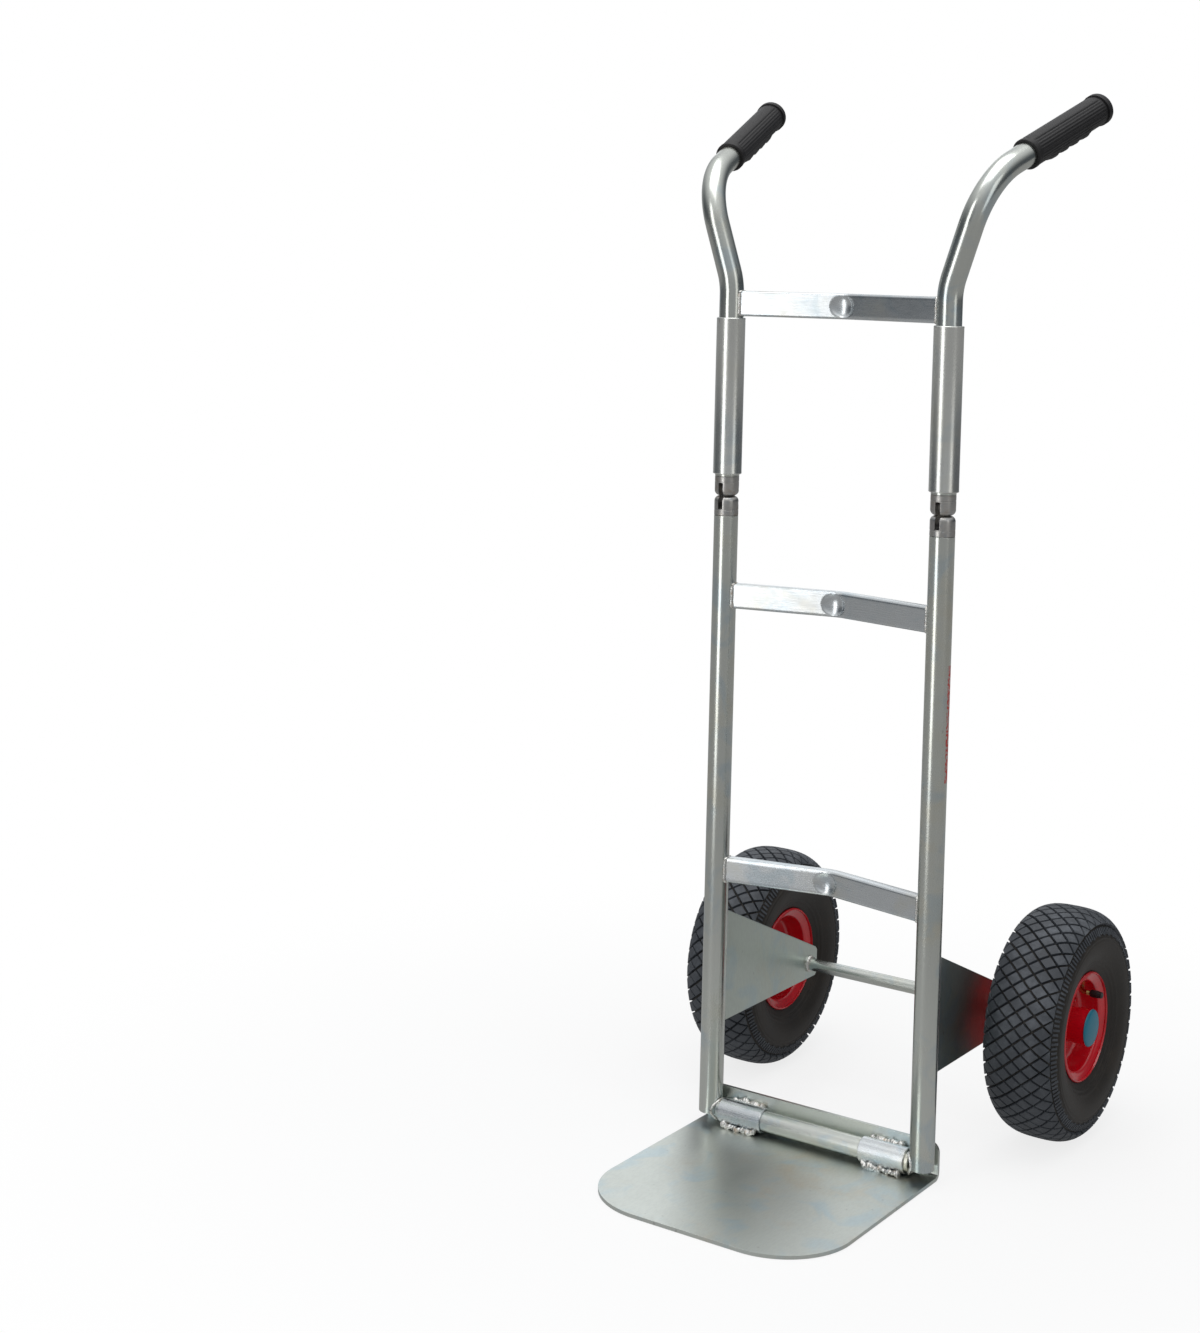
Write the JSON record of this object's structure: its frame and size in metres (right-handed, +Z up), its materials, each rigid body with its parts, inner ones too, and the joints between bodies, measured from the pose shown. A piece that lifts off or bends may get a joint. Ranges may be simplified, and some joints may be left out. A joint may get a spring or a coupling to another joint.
{
  "type": "hand truck",
  "caption": "Folding hand truck with a steel tube frame, sliding locking sleeves over the fold, a hinged toe plate and air-filled tyres.",
  "frame": {"origin": "on the floor, midway between the two uprights, on the flat underside of the toe plate", "axes": "+Z up along the uprights, -Y towards the front edge of the toe plate, +Y towards the wheels, X across the truck along the axle"},
  "size_m": [0.472, 0.61, 1.171],
  "materials": {
    "zinc_tube": "bright zinc plate",
    "zinc_sheet": "dull zinc plate",
    "plain_steel": "turned steel",
    "red_paint": "gloss red enamel",
    "tyre_rubber": "moulded black rubber",
    "tube_rubber": "thin black rubber",
    "grip_rubber": "matt black rubber",
    "teal_plastic": "glossy blue-green plastic",
    "valve_brass": "dull brass",
    "valve_plastic": "black plastic"
  },
  "bodies": {
    "lower_frame": {"upright_left": "zinc_tube", "upright_right": "zinc_tube", "lower_plug_left": "plain_steel", "lower_plug_right": "plain_steel", "lower_pin_left": "plain_steel", "lower_pin_right": "plain_steel", "gusset_left": "zinc_sheet", "gusset_right": "zinc_sheet", "axle_spacer_left": "zinc_tube", "axle_spacer_right": "zinc_tube", "retaining_ring_left": "plain_steel", "retaining_ring_right": "plain_steel", "crossbar_lower": "zinc_tube", "crossbar_middle": "zinc_tube", "axle": "zinc_tube", "toe_rod": "zinc_tube"},
    "fold_link_left": {"link_left": "plain_steel"},
    "fold_link_right": {"link_right": "plain_steel"},
    "handle_frame": {"handle_tube_left": "zinc_tube", "handle_tube_right": "zinc_tube", "upper_plug_left": "plain_steel", "upper_plug_right": "plain_steel", "upper_pin_left": "plain_steel", "upper_pin_right": "plain_steel", "grip_left": "grip_rubber", "grip_right": "grip_rubber", "crossbar_handle": "zinc_tube"},
    "locking_sleeve_left": {"sleeve_left": "zinc_tube"},
    "locking_sleeve_right": {"sleeve_right": "zinc_tube"},
    "toe": {"toe_plate": "zinc_sheet", "toe_knuckle_left": "zinc_tube", "toe_knuckle_right": "zinc_tube"},
    "wheel_left": {"tyre_left": "tyre_rubber", "inner_tube_left": "tube_rubber", "rim_outer_left": "red_paint", "rim_inner_left": "red_paint", "hub_left": "red_paint", "bearing_outer_left": "plain_steel", "bearing_inner_left": "plain_steel", "hub_cap_left": "teal_plastic", "valve_left": "valve_brass", "valve_cap_left": "valve_plastic"},
    "wheel_right": {"tyre_right": "tyre_rubber", "inner_tube_right": "tube_rubber", "rim_outer_right": "red_paint", "rim_inner_right": "red_paint", "hub_right": "red_paint", "bearing_outer_right": "plain_steel", "bearing_inner_right": "plain_steel", "hub_cap_right": "teal_plastic", "valve_right": "valve_brass", "valve_cap_right": "valve_plastic"}
  },
  "joints": [
    {"name": "fold", "type": "hinge", "parent": "lower_frame", "child": "fold_link_left", "pos_m": [-0.133, 0.0078, 0.7108], "axis": [-1, 0, 0], "range_deg": [0, 90]},
    {"name": "handle_turn", "type": "hinge", "parent": "fold_link_left", "child": "handle_frame", "pos_m": [-0.133, 0.0078, 0.7272], "axis": [-1, 0, 0], "range_deg": [0, 90]},
    {"name": "link_right_turn", "type": "hinge", "parent": "lower_frame", "child": "fold_link_right", "pos_m": [0.133, 0.0078, 0.7108], "axis": [-1, 0, 0], "range_deg": [0, 90]},
    {"name": "sleeve_left_slide", "type": "slide", "parent": "handle_frame", "child": "locking_sleeve_left", "axis": [0, 0, 1], "range_m": [-0.1205, 0]},
    {"name": "sleeve_right_slide", "type": "slide", "parent": "handle_frame", "child": "locking_sleeve_right", "axis": [0, 0, 1], "range_m": [-0.1205, 0]},
    {"name": "toe_fold", "type": "hinge", "parent": "lower_frame", "child": "toe", "pos_m": [0, 0, 0.019], "axis": [-1, 0, 0], "range_deg": [0, 90]},
    {"name": "wheel_left_spin", "type": "hinge", "parent": "lower_frame", "child": "wheel_left", "pos_m": [-0.193, 0.217, 0.13], "axis": [1, 0, 0], "continuous": true},
    {"name": "wheel_right_spin", "type": "hinge", "parent": "lower_frame", "child": "wheel_right", "pos_m": [0.193, 0.217, 0.13], "axis": [1, 0, 0], "continuous": true}
  ],
  "couplings": [
    {"joint": "handle_turn", "follows": "fold", "ratio": 1},
    {"joint": "link_right_turn", "follows": "fold", "ratio": 1}
  ]
}
